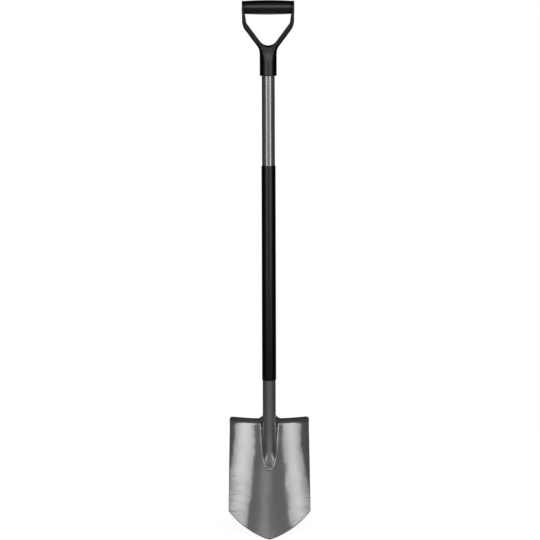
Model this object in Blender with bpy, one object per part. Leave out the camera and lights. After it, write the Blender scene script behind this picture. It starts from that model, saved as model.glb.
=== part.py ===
"""A pointed garden spade with a D handle, welded from a pressed blade and a steel tube.

Metres, +Z up. The blade's hollow face looks towards -Y, +X is to the right seen from there.
The shaft's axis is vertical. The origin is the bottom centre of the whole spade's bounding box.
"""

import math

import bmesh
import bpy
from mathutils import Matrix, Vector

# Clearances between pieces
SEAT_GAP = 0.0003
WELD_GAP = 0.0002

# Blade: outline, seen from the front
SHOULDER_HALF_WIDTH = 0.0883
SIDE_TAPER = 0.0029
BLADE_TOP_HALF_WIDTH = SHOULDER_HALF_WIDTH - SIDE_TAPER
SHOULDER_HEIGHT = 0.0665
POINT_ARC_RADIUS = 0.194
POINT_NOSE_RADIUS = 0.002
BEND_HEIGHT = 0.245
SHEET_THICKNESS = 0.002

# Blade: how it is dished, tilted and ground
DISH_RADIUS_TOP = 0.190
DISH_RADIUS_POINT = 0.260
FACE_SETBACK = 0.006
BLADE_TILT = math.radians(10)
BLADE_BOW = 0.003
GRIND_WIDTH = 0.005
EDGE_THICKNESS = 0.0008

# Footrests, turned back along the top edge, and the tongue between them behind the tube
TREAD_BEND_RADIUS = 0.010
TREAD_ANGLE = math.radians(66)
TREAD_SHEET_LENGTH = 0.018
TREAD_RISE = 0.0065
TREAD_CORNER_RADIUS = 0.008
TONGUE_REACH = 0.027

# Trough pressed into the blade, which takes the back of the tube
TROUGH_LENGTH = 0.080
TROUGH_REACH_TOP = 0.030
TROUGH_REACH_END = 0.016

# Shaft tube
TUBE_RADIUS = 0.014
TUBE_WALL = 0.0015
SHAFT_LENGTH = 0.900

# Foot of the shaft: its outline on the blade, its nose, and the skirt flared from the tube
FOOT_LENGTH = 0.0991
FOOT_HALF_WIDTH = 0.0182
FOOT_FLARE_LENGTH = 0.090
FOOT_FULLNESS = 1.7
FOOT_TOP_FADE = 0.014
FOOT_EDGE = 0.0012
NOSE_LENGTH = 0.033
NOSE_DROP = 0.0022
NOSE_PINCH = 0.18
SKIRT_INSET_TIP = 0.003
SKIRT_INSET_TOP = 0.005
SKIRT_HOLLOW = 0.0010

# Weld round the foot, and weld behind the neck
WELD_RADIUS = 0.0011
WELD_TOP_DROP = 0.006
NECK_WELD_HALF_ANGLE = math.radians(46)
NECK_WELD_HEIGHT = 0.0032
NECK_WELD_WIDTH = 0.0030

# Plastic sleeve on the shaft
SLEEVE_WALL = 0.001
SLEEVE_LENGTH = 0.4642
SLEEVE_ABOVE_BEND = 0.097
SLEEVE_LIP = 0.0006

# D handle: collar and crotch
COLLAR_RADIUS = 0.018
SOCKET_DEPTH = 0.0464
COLLAR_CHAMFER = 0.0015
CROTCH_THICKNESS = 0.0181
CROTCH_RADIUS = 0.0205

# D handle: arms and grip
YOKE_HALF_WIDTH = 0.056
YOKE_HALF_DEPTH = 0.0138
ARM_THICKNESS = 0.012
ARM_LEAN = math.radians(37)
ARM_BEND_RADIUS = 0.020
ARM_KNEE_RADIUS = 0.012
ARM_TOP_THICKNESS = 0.0068
ARM_ROOT_FILLET = 0.027
ARM_EDGE_ROUND = 0.0024
WEB_TAPER_HEIGHT = 0.013
WEB_TAPER_INSET = 0.0066
FACET_HEIGHT = 0.019
OPENING_HEIGHT = 0.065
GRIP_MID_RADIUS = 0.0155
GRIP_END_RADIUS = 0.0141
GRIP_CORE_RADIUS = 0.009

# Rivet through the back of the collar
RIVET_SHANK_RADIUS = 0.0020
RIVET_HEAD_RADIUS = 0.0040
RIVET_HEAD_HEIGHT = 0.0015
RIVET_TAIL_RADIUS = 0.0029
RIVET_TAIL_LENGTH = 0.0030
RIVET_ABOVE_COLLAR_END = 0.017
RIVET_SEAT_DEPTH = 0.0008

# Fineness of the round shapes
TUBE_SIDES = 40
GRIP_SIDES = 32
RIVET_SIDES = 16
CUT_OVERRUN = 0.004

# Heights that follow from the sizes above, measured from the blade's point
FOOT_TIP_HEIGHT = BEND_HEIGHT - FOOT_LENGTH
TUBE_TOP_HEIGHT = FOOT_TIP_HEIGHT + SHAFT_LENGTH
SOCKET_FLOOR_HEIGHT = TUBE_TOP_HEIGHT + SEAT_GAP
COLLAR_END_HEIGHT = SOCKET_FLOOR_HEIGHT - SOCKET_DEPTH
CROTCH_HEIGHT = SOCKET_FLOOR_HEIGHT + CROTCH_THICKNESS
GRIP_AXIS_HEIGHT = CROTCH_HEIGHT + OPENING_HEIGHT + GRIP_MID_RADIUS
NOSE_HEIGHT = FOOT_TIP_HEIGHT + NOSE_LENGTH
SLEEVE_BOTTOM_HEIGHT = BEND_HEIGHT + SLEEVE_ABOVE_BEND
SLEEVE_TOP_HEIGHT = SLEEVE_BOTTOM_HEIGHT + SLEEVE_LENGTH
RIVET_HEIGHT = COLLAR_END_HEIGHT + RIVET_ABOVE_COLLAR_END


def clear_scene():
    for thing in list(bpy.data.objects):
        bpy.data.objects.remove(thing)


def smoothstep(t):
    t = min(max(t, 0.0), 1.0)
    return t * t * (3 - 2 * t)


def steps(start, end, count):
    """count + 1 evenly spaced values from start to end."""
    return [start + (end - start) * i / count for i in range(count + 1)]


def make_material(name, color, roughness, metallic):
    material = bpy.data.materials.new(name)
    material.use_nodes = True
    shader = material.node_tree.nodes["Principled BSDF"]
    shader.inputs["Base Color"].default_value = (*color, 1)
    shader.inputs["Roughness"].default_value = roughness
    shader.inputs["Metallic"].default_value = metallic
    return material


def make_object(name, vertices, faces, material=None, sharp_angle=math.radians(35)):
    """A named object from points and faces, with its normals made to point out."""
    mesh = bpy.data.meshes.new(name)
    mesh.from_pydata([tuple(v) for v in vertices], [], faces)
    work = bmesh.new()
    work.from_mesh(mesh)
    bmesh.ops.recalc_face_normals(work, faces=work.faces)
    if work.calc_volume(signed=True) < 0:
        bmesh.ops.reverse_faces(work, faces=work.faces)
    work.to_mesh(mesh)
    work.free()
    mesh.shade_smooth()
    mesh.set_sharp_from_angle(angle=sharp_angle)
    if material:
        mesh.materials.append(material)
    thing = bpy.data.objects.new(name, mesh)
    bpy.context.scene.collection.objects.link(thing)
    return thing


def as_tool(thing):
    """Marks an object as a cutter or a part of a union, which isn't a piece of the spade."""
    thing.hide_render = True
    thing.display_type = "WIRE"
    return thing


def combine(thing, tool, operation):
    """Adds or cuts a tool with a Boolean that stays on the object."""
    modifier = thing.modifiers.new(operation.lower(), "BOOLEAN")
    modifier.operation = operation
    modifier.solver = "EXACT"
    modifier.object = as_tool(tool)


def ring_faces(ring_count, side_count, closed):
    """Quads between rings of points; closed joins the last ring to the first."""
    faces = []
    for i in range(ring_count if closed else ring_count - 1):
        following = (i + 1) % ring_count
        for j in range(side_count):
            beside = (j + 1) % side_count
            faces.append((i * side_count + j, i * side_count + beside,
                          following * side_count + beside, following * side_count + j))
    return faces


def loft(name, rings, material=None):
    """A solid through rings of points, its first and last ring filled as end faces."""
    side_count = len(rings[0])
    points = [point for ring in rings for point in ring]
    faces = ring_faces(len(rings), side_count, False)
    faces.append(tuple(reversed(range(side_count))))
    faces.append(tuple(range((len(rings) - 1) * side_count, len(rings) * side_count)))
    return make_object(name, points, faces, material)


def turned(name, profile, sides, material=None, axis="Z", hollow=False):
    """A solid of revolution. profile is a list of (radius, height along the axis).

    A hollow one has a closed profile clear of the axis; a full one gets end faces.
    """
    rings = []
    for radius, height in profile:
        ring = []
        for k in range(sides):
            angle = 2 * math.pi * k / sides
            a, b = radius * math.cos(angle), radius * math.sin(angle)
            ring.append({"X": (height, a, b), "Y": (a, height, b), "Z": (a, b, height)}[axis])
        rings.append(ring)
    if not hollow:
        return loft(name, rings, material)
    points = [point for ring in rings for point in ring]
    return make_object(name, points, ring_faces(len(rings), sides, True), material)


# The blade's surface

def side_half_width(height):
    """Half the blade's width at a height, along its nearly straight sides."""
    share = (height - SHOULDER_HEIGHT) / (BEND_HEIGHT - SHOULDER_HEIGHT)
    share = min(max(share, 0.0), 1.0)
    return SHOULDER_HALF_WIDTH + (BLADE_TOP_HALF_WIDTH - SHOULDER_HALF_WIDTH) * share


def point_edge_height(x):
    """Height of the pointed lower edge: one arc a side, from the shoulder to the point."""
    chord = math.hypot(SHOULDER_HALF_WIDTH, SHOULDER_HEIGHT)
    reach = math.sqrt(POINT_ARC_RADIUS ** 2 - (chord / 2) ** 2)
    centre_x = SHOULDER_HALF_WIDTH / 2 - reach * SHOULDER_HEIGHT / chord
    centre_z = SHOULDER_HEIGHT / 2 + reach * SHOULDER_HALF_WIDTH / chord
    blunt = math.hypot(x, POINT_NOSE_RADIUS) - POINT_NOSE_RADIUS
    return centre_z - math.sqrt(POINT_ARC_RADIUS ** 2 - (blunt - centre_x) ** 2)


def plain_face(height):
    """Depth of the face's centre line, without the trough: tilted forward and slightly bowed."""
    below = BEND_HEIGHT - height
    return FACE_SETBACK - below * math.tan(BLADE_TILT) - BLADE_BOW * (below / BEND_HEIGHT) ** 2


def trough_floor(height):
    """Depth of the trough's floor: it leaves the face smoothly and ends upright at the tube."""
    end = BEND_HEIGHT - TROUGH_LENGTH
    floor_top = TUBE_RADIUS + SEAT_GAP
    if height <= end:
        return plain_face(height)
    if height >= BEND_HEIGHT:
        return floor_top
    probe = 0.0001
    slope = (plain_face(end + probe) - plain_face(end - probe)) / (2 * probe)
    t = (height - end) / TROUGH_LENGTH
    rise = t ** 3 - 2 * t ** 2 + t
    return (plain_face(end) * (1 - smoothstep(t)) + slope * TROUGH_LENGTH * rise
            + floor_top * smoothstep(t))


def face_depth(x, height):
    """Depth of the blade's front surface: dish and trough together."""
    share = min(max(height / BEND_HEIGHT, 0.0), 1.0)
    radius = DISH_RADIUS_POINT + (DISH_RADIUS_TOP - DISH_RADIUS_POINT) * share
    dish = radius - math.sqrt(radius ** 2 - x ** 2)
    depth = plain_face(height) - dish
    along = min(max((height - BEND_HEIGHT + TROUGH_LENGTH) / TROUGH_LENGTH, 0.0), 1.0)
    reach = TROUGH_REACH_END + (TROUGH_REACH_TOP - TROUGH_REACH_END) * along
    if abs(x) < reach:
        depth += (trough_floor(height) - plain_face(height)) * math.cos(math.pi * x / (2 * reach)) ** 2
    return depth


def bend_line(x):
    """Height where the footrest starts to turn back; it rises towards the corners."""
    return BEND_HEIGHT + TREAD_RISE * (x / BLADE_TOP_HALF_WIDTH) ** 2


def tread_length(x):
    """Length of sheet above the bend line, less the rounded outer corner."""
    into_corner = abs(x) - (BLADE_TOP_HALF_WIDTH - TREAD_CORNER_RADIUS)
    if into_corner <= 0:
        return TREAD_SHEET_LENGTH
    into_corner = min(into_corner, TREAD_CORNER_RADIUS)
    return TREAD_SHEET_LENGTH - TREAD_CORNER_RADIUS + math.sqrt(TREAD_CORNER_RADIUS ** 2 - into_corner ** 2)


def tread_point(x, along):
    """A point of the turned part, at a length of sheet above the bend line."""
    start = bend_line(x)
    probe = 0.0002
    lean = math.atan((face_depth(x, start) - face_depth(x, start - probe)) / probe)
    turn = TREAD_ANGLE * smoothstep(abs(x) / TONGUE_REACH)
    turned_by = min(turn, along / TREAD_BEND_RADIUS)
    straight = along - turned_by * TREAD_BEND_RADIUS
    end = lean + turned_by
    y = face_depth(x, start) + TREAD_BEND_RADIUS * (math.cos(lean) - math.cos(end)) + straight * math.sin(end)
    z = start + TREAD_BEND_RADIUS * (math.sin(end) - math.sin(lean)) + straight * math.cos(end)
    return Vector((x, y, z))


def column_shares():
    """Places across the blade, as shares of half its width: close together round the trough."""
    inner = steps(0, TROUGH_REACH_TOP / BLADE_TOP_HALF_WIDTH, 10)
    corner = 1 - TREAD_CORNER_RADIUS / BLADE_TOP_HALF_WIDTH
    middle = steps(inner[-1], corner, 5)[1:]
    outer = [corner + (1 - corner) * s for s in (0.4, 0.7, 0.9, 1.0)]
    right = inner + middle + outer
    return [-share for share in reversed(right[1:])] + right


def row_shares():
    """Places up the face, from the ground edge to the bend line: closer beside the trough."""
    grind = GRIND_WIDTH / BEND_HEIGHT
    trough = 1 - TROUGH_LENGTH * 1.1 / BEND_HEIGHT
    return [0.0] + steps(grind, trough, 8) + steps(trough, 1.0, 11)[1:]


def sheet_points():
    """Rows of points on the front of the sheet, from the ground edge to the footrests' rim."""
    columns = column_shares()
    rows = []
    for share in row_shares():
        row = []
        for column in columns:
            foot_x = column * SHOULDER_HALF_WIDTH
            low, high = point_edge_height(foot_x), bend_line(column * BLADE_TOP_HALF_WIDTH)
            z = low + share * (high - low)
            x = column * side_half_width(z)
            row.append(Vector((x, face_depth(x, z), z)))
        rows.append(row)
    for share in steps(0, 1, 7)[1:]:
        rows.append([tread_point(c * BLADE_TOP_HALF_WIDTH, share * tread_length(c * BLADE_TOP_HALF_WIDTH))
                     for c in columns])
    return rows


def sheet_normals(rows):
    """Unit vectors out of the back of the sheet at each of its points."""
    normals = []
    for i, row in enumerate(rows):
        line = []
        for j in range(len(row)):
            up = rows[min(i + 1, len(rows) - 1)][j] - rows[max(i - 1, 0)][j]
            across = row[min(j + 1, len(row) - 1)] - row[max(j - 1, 0)]
            line.append(up.cross(across).normalized())
        normals.append(line)
    return normals


def shell_between(name, front, back, material=None):
    """A closed solid between two grids of points of the same size."""
    row_count, column_count = len(front), len(front[0])
    points = [p for row in front for p in row] + [p for row in back for p in row]
    behind = row_count * column_count
    faces = []
    for i in range(row_count - 1):
        for j in range(column_count - 1):
            a, b = i * column_count + j, (i + 1) * column_count + j
            faces.append((a, a + 1, b + 1, b))
            faces.append((behind + a, behind + b, behind + b + 1, behind + a + 1))
    rim = [j for j in range(column_count)]
    rim += [i * column_count + column_count - 1 for i in range(1, row_count)]
    rim += [(row_count - 1) * column_count + j for j in reversed(range(column_count - 1))]
    rim += [i * column_count for i in reversed(range(1, row_count - 1))]
    for a, b in zip(rim, rim[1:] + rim[:1]):
        faces.append((a, behind + a, behind + b, b))
    return make_object(name, points, faces, material)


def blade(material):
    front = sheet_points()
    normals = sheet_normals(front)
    back = []
    for i, row in enumerate(front):
        thickness = EDGE_THICKNESS if i == 0 else SHEET_THICKNESS
        back.append([p + normals[i][j] * thickness for j, p in enumerate(row)])
    return shell_between("blade", front, back, material)


def blade_cutter(name, gap):
    """Everything behind the blade's front surface, less a gap; it trims what is welded on."""
    front = sheet_points()
    normals = sheet_normals(front)
    grown = [[p - normals[i][j] * gap for j, p in enumerate(row)] for i, row in enumerate(front)]
    far = [[p + Vector((0, 4 * COLLAR_RADIUS, 0)) for p in row] for row in grown]
    return as_tool(shell_between(name, grown, far))


# The shaft

def pinch(height):
    """How much of its width the tube keeps at a height: it narrows at the nose."""
    return 1 - NOSE_PINCH * smoothstep((NOSE_HEIGHT - height) / NOSE_LENGTH)


def nose_shift(height):
    """How far the tube's end is pressed back towards the blade at a height."""
    into = max(NOSE_HEIGHT - height, 0.0)
    return NOSE_DROP * (into / NOSE_LENGTH) ** 2


def tube_front(x, height):
    """Depth of the tube's front surface at a place seen from the front."""
    share = min(abs(x) / (TUBE_RADIUS * pinch(height)), 1.0)
    return nose_shift(height) - TUBE_RADIUS * math.sqrt(1 - share ** 2)


def tube_solid(name, radius, top, material=None):
    """The tube's form without its bore, running on below the foot's tip into the blade."""
    below = FOOT_TIP_HEIGHT - 2 * CUT_OVERRUN
    rings = []
    for height in steps(below, NOSE_HEIGHT, 10) + [top]:
        ring = []
        for k in range(TUBE_SIDES):
            angle = 2 * math.pi * k / TUBE_SIDES
            ring.append(Vector((radius * pinch(height) * math.sin(angle),
                                nose_shift(height) - radius * math.cos(angle), height)))
        rings.append(ring)
    return loft(name, rings, material)


def foot_half_width(height):
    """Half the foot's width on the blade at a height: full at the top, round at the tip."""
    left_over = 1 - min(max((height - FOOT_TIP_HEIGHT) / FOOT_FLARE_LENGTH, 0.0), 1.0)
    fade = smoothstep((height - BEND_HEIGHT + FOOT_TOP_FADE) / FOOT_TOP_FADE)
    full = FOOT_HALF_WIDTH * math.sqrt(1 - left_over ** FOOT_FULLNESS)
    return full + (TUBE_RADIUS + SEAT_GAP - full) * fade if height > NOSE_HEIGHT else full


def foot_outline():
    """Points (place on the face, direction out of the foot) from the upper left round the tip."""
    fade_height = BEND_HEIGHT - FOOT_TOP_FADE
    heights = [FOOT_TIP_HEIGHT + (fade_height - FOOT_TIP_HEIGHT) * share ** 2 for share in steps(0, 1, 14)]
    heights += steps(fade_height, BEND_HEIGHT, 5)[1:]
    right = [Vector((foot_half_width(height), 0, height)) for height in heights]
    line = [Vector((-p.x, 0, p.z)) for p in reversed(right[1:])] + right
    outline = []
    for i, place in enumerate(line):
        run = (line[min(i + 1, len(line) - 1)] - line[max(i - 1, 0)]).normalized()
        outline.append((place, Vector((run.z, 0, -run.x))))
    return outline


def foot_skirt():
    """The flare between the tube's flank and the foot's outline on the blade."""
    outline = foot_outline()
    middle = len(outline) // 2
    rings = []
    for i, (toe, out) in enumerate(outline):
        share = abs(i - middle) / middle
        crest = toe - out * (SKIRT_INSET_TIP + (SKIRT_INSET_TOP - SKIRT_INSET_TIP) * share)
        floor, edge = face_depth(toe.x, toe.z), face_depth(toe.x, toe.z) - FOOT_EDGE
        top = tube_front(crest.x, crest.z)
        hollow = SKIRT_HOLLOW * smoothstep(share)
        ring = [Vector((toe.x, floor + FOOT_EDGE, toe.z)), Vector((toe.x, edge, toe.z))]
        for t in (0.35, 0.7):
            dip = 4 * t * (1 - t) * hollow
            place = toe.lerp(crest, t) - out * dip
            ring.append(Vector((place.x, edge + (top - edge) * t, place.z)))
        ring.append(Vector((crest.x, top + 0.1 * TUBE_WALL, crest.z)))
        root = crest - out * TUBE_WALL * 0.5
        ring.append(Vector((root.x, max(top, floor) + FOOT_EDGE, root.z)))
        rings.append(ring)
    return loft("foot_skirt", rings)


def shaft_tube(material, cutter):
    tube = tube_solid("shaft_tube", TUBE_RADIUS, TUBE_TOP_HEIGHT, material)
    combine(tube, foot_skirt(), "UNION")
    bore = tube_solid("tube_bore", TUBE_RADIUS - TUBE_WALL, TUBE_TOP_HEIGHT + CUT_OVERRUN)
    combine(tube, bore, "DIFFERENCE")
    combine(tube, cutter, "DIFFERENCE")
    combine(tube, rivet_hole("tube_rivet_hole", COLLAR_RADIUS + CUT_OVERRUN), "DIFFERENCE")
    return tube


def foot_weld(material, cutter):
    """A thin bead along the foot's outline, trimmed to the blade's face."""
    sides = 10
    path = []
    for toe, out in foot_outline():
        if toe.z > BEND_HEIGHT - WELD_TOP_DROP:
            continue
        place = toe + out * (WELD_RADIUS + WELD_GAP)
        place.y = face_depth(place.x, place.z) - 0.2 * WELD_RADIUS
        path.append(place)
    rings = []
    for i, place in enumerate(path):
        run = (path[min(i + 1, len(path) - 1)] - path[max(i - 1, 0)]).normalized()
        flat = run.cross(Vector((0, 1, 0))).normalized()
        rise = run.cross(flat).normalized()
        ring = []
        for k in range(sides):
            angle = 2 * math.pi * k / sides
            ring.append(place + WELD_RADIUS * (flat * math.cos(angle) + rise * math.sin(angle)))
        rings.append(ring)
    bead = loft("foot_weld", rings, material)
    combine(bead, cutter, "DIFFERENCE")
    return bead


def neck_weld(material):
    """A bead behind the tube, on the top edge of the tongue, swept round the tube's axis."""
    inner = TUBE_RADIUS + SEAT_GAP
    section = [(0.0, 0.0), (0.0, NECK_WELD_HEIGHT), (0.35 * NECK_WELD_WIDTH, 0.82 * NECK_WELD_HEIGHT),
               (0.75 * NECK_WELD_WIDTH, 0.45 * NECK_WELD_HEIGHT), (NECK_WELD_WIDTH, 0.0)]
    rings = []
    for angle in steps(math.pi - NECK_WELD_HALF_ANGLE, math.pi + NECK_WELD_HALF_ANGLE, 16):
        ring = []
        for outward, up in section:
            radius = inner + outward
            x, y = radius * math.sin(angle), -radius * math.cos(angle)
            edge = max(tread_point(x, tread_length(x)).z, tread_point(inner * math.sin(angle), TREAD_SHEET_LENGTH).z)
            ring.append(Vector((x, y, edge + SEAT_GAP + up)))
        rings.append(ring)
    return loft("neck_weld", rings, material)


def shaft_sleeve(material):
    inner = TUBE_RADIUS + SEAT_GAP
    outer = inner + SLEEVE_WALL
    low, high = SLEEVE_BOTTOM_HEIGHT, SLEEVE_TOP_HEIGHT
    profile = [(inner, low), (outer - SLEEVE_LIP, low), (outer, low + 2 * SLEEVE_LIP),
               (outer, high - SLEEVE_LIP), (outer - SLEEVE_LIP, high), (inner, high)]
    return turned("shaft_sleeve", profile, TUBE_SIDES, material, hollow=True)


# The D handle

def arc(centre, radius, start, end, count):
    """Points (x, z) along an arc about a centre, between two angles in radians."""
    return [(centre[0] + radius * math.cos(a), centre[1] + radius * math.sin(a)) for a in steps(start, end, count)]


def outer_diagonal_x(height):
    """Distance of the arm's straight outer side from the axis at a height."""
    opening_side = inner_diagonal_x(height)
    return opening_side + ARM_THICKNESS / math.cos(ARM_LEAN)


def inner_diagonal_x(height):
    """Distance of the opening's straight side from the axis at a height: tangent to the crotch."""
    centre = CROTCH_HEIGHT + CROTCH_RADIUS
    return CROTCH_RADIUS / math.cos(ARM_LEAN) + (height - centre) * math.tan(ARM_LEAN)


def corner_arc(corner, before, after, radius, count):
    """Points that round an outline's corner, between the sides towards before and after."""
    corner, before, after = Vector(corner), Vector(before), Vector(after)
    a, b = (before - corner).normalized(), (after - corner).normalized()
    half = a.angle(b) / 2
    centre = corner + (a + b).normalized() * (radius / math.sin(half))
    start, end = corner + a * (radius / math.tan(half)) - centre, corner + b * (radius / math.tan(half)) - centre
    turn = start.angle_signed(end)
    points = []
    for share in steps(0, 1, count):
        points.append(tuple(centre + Matrix.Rotation(-turn * share, 2) @ start))
    return points


def arm_outline():
    """The right arm and half the web, seen from the front: outer side up, then inner side down."""
    lower = CROTCH_HEIGHT
    root_z = lower + (COLLAR_RADIUS - outer_diagonal_x(lower)) / math.tan(ARM_LEAN)
    root = (COLLAR_RADIUS, root_z)
    shoulder_x = YOKE_HALF_WIDTH - SEAT_GAP
    shoulder_z = lower + (shoulder_x - outer_diagonal_x(lower)) / math.tan(ARM_LEAN)
    shoulder = (shoulder_x, shoulder_z)
    tangent = ARM_ROOT_FILLET * math.tan(ARM_LEAN / 2)
    web_end = (COLLAR_RADIUS - WEB_TAPER_INSET, root_z - tangent - WEB_TAPER_HEIGHT)
    inner_top = (YOKE_HALF_WIDTH - ARM_TOP_THICKNESS + SEAT_GAP, GRIP_AXIS_HEIGHT)
    inner_knee_x = inner_top[0] - 0.4 * ARM_TOP_THICKNESS
    inner_knee = (inner_knee_x, lower + (inner_knee_x - inner_diagonal_x(lower)) / math.tan(ARM_LEAN))
    points = [web_end, ((web_end[0] + root[0]) / 2 + 0.001, (web_end[1] + root_z - tangent) / 2)]
    points += corner_arc(root, (COLLAR_RADIUS, root_z - 1), shoulder, ARM_ROOT_FILLET, 6)
    points += corner_arc(shoulder, root, (shoulder_x, GRIP_AXIS_HEIGHT), ARM_BEND_RADIUS, 6)
    below_grip = (inner_top[0], GRIP_AXIS_HEIGHT - GRIP_END_RADIUS)
    points += [(shoulder_x, GRIP_AXIS_HEIGHT), inner_top, below_grip]
    points += corner_arc(inner_knee, below_grip, (inner_diagonal_x(lower + CROTCH_RADIUS), lower + CROTCH_RADIUS),
                         ARM_KNEE_RADIUS, 4)
    points += arc((0, CROTCH_HEIGHT + CROTCH_RADIUS), CROTCH_RADIUS, -ARM_LEAN, -math.pi / 2, 9)
    return points


def fork_plate():
    """The arms and the web between them as one plate with rounded edges."""
    right = arm_outline()
    outline = right[:-1] + [(-x, z) for x, z in reversed(right)]
    work = bmesh.new()
    front = [work.verts.new((x, -YOKE_HALF_DEPTH, z)) for x, z in outline]
    face = work.faces.new(front)
    grown = bmesh.ops.extrude_face_region(work, geom=[face])
    moved = [v for v in grown["geom"] if isinstance(v, bmesh.types.BMVert)]
    bmesh.ops.translate(work, verts=moved, vec=(0, 2 * YOKE_HALF_DEPTH, 0))
    bmesh.ops.recalc_face_normals(work, faces=work.faces)
    mesh = bpy.data.meshes.new("fork_plate")
    work.to_mesh(mesh)
    work.free()
    plate = bpy.data.objects.new("fork_plate", mesh)
    bpy.context.scene.collection.objects.link(plate)
    rounding = plate.modifiers.new("edge_round", "BEVEL")
    rounding.width = ARM_EDGE_ROUND
    rounding.segments = 3
    rounding.limit_method = "ANGLE"
    rounding.angle_limit = math.radians(60)
    return as_tool(plate)


def facet_cutter(side):
    """A wedge that flattens the top of the collar, so that it meets the web's flat face."""
    top = CROTCH_HEIGHT
    low = top - FACET_HEIGHT - 0.5 * CROTCH_THICKNESS
    flat, full, far = YOKE_HALF_DEPTH - SEAT_GAP, COLLAR_RADIUS, COLLAR_RADIUS + 2 * CUT_OVERRUN
    profile = [(full, low), (flat, top - 0.5 * CROTCH_THICKNESS), (flat, top + CUT_OVERRUN), (far, top + CUT_OVERRUN), (far, low)]
    reach = COLLAR_RADIUS + CUT_OVERRUN
    return loft("facet_cutter", [[Vector((x, side * y, z)) for y, z in profile] for x in (-reach, reach)])


def rivet_hole(name, reach):
    """A cutter for the rivet's hole, from inside the tube out to a distance behind its axis."""
    radius = RIVET_SHANK_RADIUS + SEAT_GAP
    return rivet_round(name, [(radius, TUBE_RADIUS - 2 * TUBE_WALL), (radius, reach)])


def rivet_round(name, profile, material=None):
    """Something turned about the rivet's axis. profile is (radius, distance behind the shaft's axis)."""
    thing = turned(name, profile, RIVET_SIDES, material, axis="Y")
    thing.data.transform(Matrix.Translation((0, 0, RIVET_HEIGHT)))
    return thing


def handle_yoke(material):
    """Collar, web, arms, end bosses and the bar inside the grip: one moulding."""
    profile = [(COLLAR_RADIUS - COLLAR_CHAMFER, COLLAR_END_HEIGHT), (COLLAR_RADIUS, COLLAR_END_HEIGHT + COLLAR_CHAMFER),
               (COLLAR_RADIUS, CROTCH_HEIGHT - 0.25 * CROTCH_THICKNESS)]
    yoke = turned("handle_yoke", profile, TUBE_SIDES, material)
    for side in (-1, 1):
        combine(yoke, facet_cutter(side), "DIFFERENCE")
    combine(yoke, fork_plate(), "UNION")
    boss_inner = YOKE_HALF_WIDTH - ARM_TOP_THICKNESS
    rim = 0.001
    for side in (-1, 1):
        profile = [(GRIP_END_RADIUS - rim, side * YOKE_HALF_WIDTH), (GRIP_END_RADIUS, side * (YOKE_HALF_WIDTH - rim)),
                   (GRIP_END_RADIUS, side * boss_inner)]
        boss = turned("arm_boss", profile, GRIP_SIDES, axis="X")
        boss.data.transform(Matrix.Translation((0, 0, GRIP_AXIS_HEIGHT)))
        combine(yoke, boss, "UNION")
    overlap = ARM_TOP_THICKNESS / 2
    core = turned("grip_core", [(GRIP_CORE_RADIUS, -boss_inner - overlap), (GRIP_CORE_RADIUS, boss_inner + overlap)],
                  GRIP_SIDES, axis="X")
    core.data.transform(Matrix.Translation((0, 0, GRIP_AXIS_HEIGHT)))
    combine(yoke, core, "UNION")
    socket_radius = TUBE_RADIUS + SEAT_GAP
    socket = turned("socket", [(socket_radius, COLLAR_END_HEIGHT - CUT_OVERRUN), (socket_radius, SOCKET_FLOOR_HEIGHT)],
                    TUBE_SIDES)
    combine(yoke, socket, "DIFFERENCE")
    combine(yoke, rivet_hole("collar_rivet_hole", COLLAR_RADIUS + CUT_OVERRUN), "DIFFERENCE")
    seat_radius = RIVET_HEAD_RADIUS + 2 * SEAT_GAP
    seat = rivet_round("rivet_seat", [(seat_radius, COLLAR_RADIUS - RIVET_SEAT_DEPTH),
                                      (seat_radius, COLLAR_RADIUS + CUT_OVERRUN)])
    combine(yoke, seat, "DIFFERENCE")
    return yoke


def handle_grip(material):
    """The barrel-shaped grip on the bar between the bosses."""
    half = YOKE_HALF_WIDTH - ARM_TOP_THICKNESS - SEAT_GAP
    bore = GRIP_CORE_RADIUS + SEAT_GAP
    swell = GRIP_MID_RADIUS - GRIP_END_RADIUS
    profile = [(bore, -half)]
    profile += [(GRIP_MID_RADIUS - swell * (x / half) ** 2, x) for x in steps(-half, half, 12)]
    profile += [(bore, half)]
    grip = turned("handle_grip", profile, GRIP_SIDES, material, axis="X", hollow=True)
    grip.data.transform(Matrix.Translation((0, 0, GRIP_AXIS_HEIGHT)))
    return grip


def handle_rivet(material):
    """A closed blind rivet: head in its seat, shank, and the tail spread inside the tube."""
    head_base = COLLAR_RADIUS - RIVET_SEAT_DEPTH + SEAT_GAP
    tail_face = (TUBE_RADIUS - TUBE_WALL) * math.cos(math.pi / TUBE_SIDES) - 2 * SEAT_GAP
    profile = [(0.6 * RIVET_TAIL_RADIUS, tail_face - RIVET_TAIL_LENGTH), (RIVET_TAIL_RADIUS, tail_face - 0.6 * RIVET_TAIL_LENGTH),
               (RIVET_TAIL_RADIUS, tail_face), (RIVET_SHANK_RADIUS, tail_face), (RIVET_SHANK_RADIUS, head_base),
               (RIVET_HEAD_RADIUS, head_base)]
    profile += [(RIVET_HEAD_RADIUS * math.cos(a), head_base + RIVET_HEAD_HEIGHT * (0.35 + 0.65 * math.sin(a)))
                for a in steps(0, math.radians(80), 4)]
    return rivet_round("handle_rivet", profile, material)


def stand_on_origin(pieces):
    """Moves the spade, by its parent, so that the origin is the bottom centre of its bounding box."""
    bpy.context.view_layer.update()
    settled = bpy.context.evaluated_depsgraph_get()
    corners = [piece.evaluated_get(settled).matrix_world @ Vector(corner)
               for piece in pieces for corner in piece.evaluated_get(settled).bound_box]
    low = Vector([min(c[i] for c in corners) for i in range(3)])
    high = Vector([max(c[i] for c in corners) for i in range(3)])
    spade = bpy.data.objects.new("spade", None)
    bpy.context.scene.collection.objects.link(spade)
    for thing in bpy.data.objects:
        if thing is not spade:
            thing.parent = spade
    spade.location = (-(low.x + high.x) / 2, -(low.y + high.y) / 2, -low.z)
    bpy.context.view_layer.update()


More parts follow.
